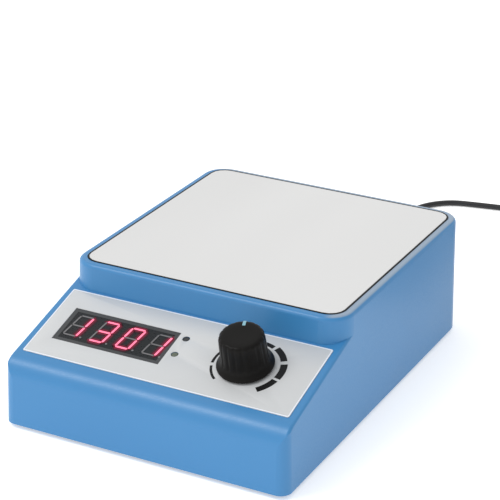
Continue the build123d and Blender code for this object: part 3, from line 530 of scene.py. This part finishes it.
# each layer's bars: lit or not, width, gap at the ends, height above the face, material
BAR_LAYERS = {
    "display_halo": (True, 4.6, -1.5, 0.005, bar_halo),
    "display_glow": (True, 3.0, -0.9, 0.015, bar_glow),
    "display_lit_bars": (True, 0.95, 0.15, 0.09, bar_lit),
    "display_dull_bars": (False, 0.7, 0.15, 0.09, bar_dull),
}
for name, (wanted, width, gap, low, material) in BAR_LAYERS.items():
    bars = bmesh.new()
    for digit, lit in LIT.items():
        for letter, outline in digit_bars(digit, width, gap):
            if (letter in lit) is wanted:
                face = bars.faces.new([bars.verts.new((x, y, low * MM)) for x, y in outline])
                face.normal_update()
                if face.normal.z < 0:
                    face.normal_flip()
        if not wanted:
            point_x = FIRST_DIGIT[0] + DIGIT_PITCH * digit + POINT_ACROSS
            spot = Vector((point_x, POINT_UP, low)) * MM
            bmesh.ops.create_circle(bars, cap_ends=True, segments=16, radius=POINT_RADIUS * MM,
                                    matrix=Matrix.Translation(spot))
    raised = bmesh.ops.extrude_face_region(bars, geom=bars.faces[:])
    lifted = [item for item in raised["geom"] if isinstance(item, bmesh.types.BMVert)]
    bmesh.ops.translate(bars, vec=(0, 0, BAR_THICKNESS * MM), verts=lifted)
    bmesh.ops.recalc_face_normals(bars, faces=bars.faces)
    bmesh.ops.transform(bars, matrix=to_panel, verts=bars.verts)
    finish_piece(name, bars, material, "housing")

# ---------------------------------------------------------------- indicator lamps
# Two small round lamps right of the display, both off: the upper one has a black lens and
# the lower one a grey-green lens.  Their colour changes in the space between them.
LAMP_SPACE = (-64, -60)
lamp_lens, tree, shader = own_material("lamp_lens", (0.1, 0.12, 0.1), 0.3)
place = tree.nodes.new("ShaderNodeTexCoord")
split = tree.nodes.new("ShaderNodeSeparateXYZ")
measure = tree.nodes.new("ShaderNodeMapRange")
measure.inputs["From Min"].default_value = LAMP_SPACE[0] * MM
measure.inputs["From Max"].default_value = LAMP_SPACE[1] * MM
tree.links.new(place.outputs["Object"], split.inputs["Vector"])
tree.links.new(split.outputs["Y"], measure.inputs["Value"])
ramp(tree, measure.outputs["Result"], [(0.4, (0.10, 0.12, 0.085)), (0.6, (0.02, 0.022, 0.024))],
     shader.inputs["Base Color"])
paint(lamp_lens, "indicator_lamps")

# ---------------------------------------------------------------- speed knob
# A black moulded knob pressed on the potentiometer's shaft: a flared skirt, shallow flutes
# for the fingers and a pale line let into its rear edge.
FLUTES = 18
FLUTE_DEPTH = 0.32
FLUTE_FOOT = 4.0
FLUTE_RUNOUT = 2.0
FLUTE_INSIDE = 8.3
FLUTE_OFFSET = 10.0
POINTER_ANGLE = 106.3
POINTER_WIDTH = 1.3
KNOB_PROFILE = [
    (8.0, 4.9), (8.0, 1.0), (11.7, 1.0), (12.05, 1.35), (12.1, 1.9), (11.85, 2.35), (11.3, 2.75),
    (10.75, 3.35), (10.3, 4.2), (10.0, 5.4), (9.85, 7.0), (9.75, 10.0), (9.65, 13.0), (9.5, 15.2),
    (9.3, 16.0), (8.85, 16.6), (8.2, 16.9), (7.4, 17.0), (5.0, 16.95), (2.5, 16.92), (0.02, 16.9),
]
knob_black = moulded("knob_black", (0.005, 0.0045, 0.004), (0.008, 0.0075, 0.007), 0.34,
                     grain=1300, height=0.00001, Specular_IOR_Level=0.1)
knob = spun(KNOB_PROFILE, 144)
for vert in knob.verts:
    height = vert.co.z / MM
    radius = vert.co.xy.length / MM
    if radius > FLUTE_INSIDE and height > FLUTE_FOOT:
        angle = FLUTES * Vector((vert.co.x, vert.co.y)).angle_signed(Vector((1, 0)))
        depth = FLUTE_DEPTH * eased(min(1.0, (height - FLUTE_FOOT) / FLUTE_RUNOUT))
        depth *= min(1.0, radius - FLUTE_INSIDE)
        groove = depth * max(0.0, cos(angle)) ** 0.8
        vert.co.xy *= (radius - groove) / radius
turned = Matrix.Rotation(radians(POINTER_ANGLE - FLUTE_OFFSET), 4, "Z")
bmesh.ops.transform(knob, matrix=at_knob @ turned, verts=knob.verts)
finish_piece("knob_body", knob, knob_black, "knob", ("speed_knob",), smooth_angle=50)

pointer_paint = moulded("pointer_paint", (0.20, 0.42, 0.50), (0.25, 0.48, 0.57), 0.5,
                        grain=1500, height=0.00001)
POINTER_PROFILE = [
    (5.7, 16.7), (5.7, 17.03), (7.4, 17.05), (8.25, 16.96), (8.95, 16.62), (9.35, 16.05),
    (9.55, 15.2), (9.68, 13.0), (9.80, 9.0), (9.3, 9.0), (9.0, 15.0), (8.2, 16.3),
]
pointer = bmesh.new()
side = pointer.faces.new([pointer.verts.new((radius * MM, -POINTER_WIDTH / 2 * MM, height * MM))
                          for radius, height in POINTER_PROFILE])
grown = bmesh.ops.extrude_face_region(pointer, geom=[side])
lifted = [item for item in grown["geom"] if isinstance(item, bmesh.types.BMVert)]
bmesh.ops.translate(pointer, vec=(0, POINTER_WIDTH * MM, 0), verts=lifted)
bmesh.ops.recalc_face_normals(pointer, faces=pointer.faces)
turned = Matrix.Rotation(radians(POINTER_ANGLE), 4, "Z")
bmesh.ops.transform(pointer, matrix=at_knob @ turned, verts=pointer.verts)
finish_piece("pointer_line", pointer, pointer_paint, "knob", ("knob_pointer",))

# ---------------------------------------------------------------- jack
# The round power jack is moulded in the same black plastic as the plug.  It sits in a hole
# in the rear wall and is held from inside by a plated nut.
paint(black_mould, "dc_jack")

# ---------------------------------------------------------------- drive
# A small brushed motor hangs from a sheet bracket under the plate.  Its shaft turns a white
# plastic bar with a nickel-plated magnet near each end.
motor_steel, tree, shader = own_material("motor_steel", (0.48, 0.48, 0.49), 0.36, Metallic=1.0)
bump(tree, shader, noise(tree, 800, 3, (0.2, 0.2, 1)), 0.00002)
sheet_aluminium, tree, shader = own_material("sheet_aluminium", (0.68, 0.69, 0.70), 0.4,
                                             Metallic=1.0)
bump(tree, shader, noise(tree, 700, 3, (0.05, 1, 1)), 0.00002)
bronze, tree, shader = own_material("bronze", (0.55, 0.36, 0.16), 0.35, Metallic=1.0)
bump(tree, shader, noise(tree, 1500, 2), 0.00002)
magnet_nickel, tree, shader = own_material("magnet_nickel", (0.66, 0.65, 0.62), 0.16, Metallic=1.0)
bump(tree, shader, noise(tree, 1200, 2), 0.00001)
ferrite = moulded("ferrite", (0.03, 0.03, 0.032), (0.05, 0.05, 0.052), 0.7,
                  grain=1500, height=0.00005)
carrier_mould = moulded("carrier_mould", (0.68, 0.68, 0.66), (0.74, 0.74, 0.72), 0.45, grain=1100)
paint(motor_steel, "motor_can", "motor_armature")
paint(sheet_aluminium, "motor_bracket", "heat_sink")
paint(bronze, "motor_bearings", "motor_brushes", "motor_tabs", "pot_lugs", "jack_contacts")
paint(ferrite, "motor_field_magnets")
paint(magnet_nickel, "drive_magnets")
paint(carrier_mould, "magnet_carrier")
paint(black_mould, "motor_end_cap", "pot_wiper", "driver_chips", "power_transistor")

# ---------------------------------------------------------------- boards and wiring
# Glass-fibre boards in green lacquer, with white headers, blue capacitor sleeves and thin
# red wires.
board_green, tree, shader = own_material("board_green", (0.02, 0.12, 0.045), 0.35)
ramp(tree, noise(tree, 260, 0, (1, 0.3, 1)),
     [(0.46, (0.012, 0.085, 0.03)), (0.5, (0.03, 0.16, 0.06))], shader.inputs["Base Color"])
sleeve_blue = moulded("sleeve_blue", (0.015, 0.03, 0.12), (0.02, 0.04, 0.16), 0.3, height=0.00001)
header_white = moulded("header_white", (0.62, 0.60, 0.54), (0.68, 0.66, 0.60), 0.5, grain=1100)
wire_red = moulded("wire_red", (0.34, 0.02, 0.015), (0.42, 0.03, 0.02), 0.42, height=0.00001)
paint(board_green, "display_board", "driver_board", "speed_sensor", "adapter_board")
paint(sleeve_blue, "driver_capacitors")
paint(header_white, "wire_headers")
paint(wire_red, "motor_leads", "jack_leads", "sensor_leads", "pot_leads", "display_leads")

# ---------------------------------------------------------------- table and light
# A plain white table, which glows faintly so that it stays white.  The pale surroundings
# are brighter on the left than on the right, and one soft lamp stands at the front left.
TABLE_REACH = 6.0
SURROUND_LEFT = (0.97, 0.97, 0.97)
SURROUND_RIGHT = (0.58, 0.59, 0.60)
SURROUND_SPAN = (-0.2, 0.9)
LAMP_PLACE = Vector((-0.62, -0.62, 1.2))
LAMP_TARGET = Vector((0, -0.03, 0.03))
LAMP_SIZE = 0.5
LAMP_POWER = 6
table_paint, tree, shader = own_material("table_paint", (0.93, 0.93, 0.93), 0.9,
                                         Emission_Strength=0.42)
shader.inputs["Emission Color"].default_value = (1, 1, 1, 1)
table_edit = bmesh.new()
bmesh.ops.create_grid(table_edit, x_segments=1, y_segments=1, size=TABLE_REACH)
table_mesh = bpy.data.meshes.new("table")
table_edit.to_mesh(table_mesh)
table_edit.free()
table_mesh.materials.append(table_paint)
table = bpy.data.objects.new("table", table_mesh)
bpy.context.scene.collection.objects.link(table)

world = bpy.data.worlds.new("studio")
world.use_nodes = True
sky = world.node_tree
around = sky.nodes.new("ShaderNodeTexCoord")
apart = sky.nodes.new("ShaderNodeSeparateXYZ")
across = sky.nodes.new("ShaderNodeMapRange")
across.inputs["From Min"].default_value = SURROUND_SPAN[0]
across.inputs["From Max"].default_value = SURROUND_SPAN[1]
sky.links.new(around.outputs["Generated"], apart.inputs["Vector"])
sky.links.new(apart.outputs["X"], across.inputs["Value"])
ramp(sky, across.outputs["Result"], [(0.0, SURROUND_LEFT), (1.0, SURROUND_RIGHT)],
     sky.nodes["Background"].inputs["Color"])
sky.nodes["Background"].inputs["Strength"].default_value = 1.0
bpy.context.scene.world = world
bpy.context.scene.view_settings.view_transform = "Standard"

lamp = bpy.data.lights.new("key", "AREA")
lamp.size = LAMP_SIZE
lamp.energy = LAMP_POWER
soft_box = bpy.data.objects.new("key", lamp)
bpy.context.scene.collection.objects.link(soft_box)
facing = (LAMP_TARGET - LAMP_PLACE).to_track_quat("-Z", "Y").to_matrix().to_4x4()
soft_box.matrix_world = Matrix.Translation(LAMP_PLACE) @ facing
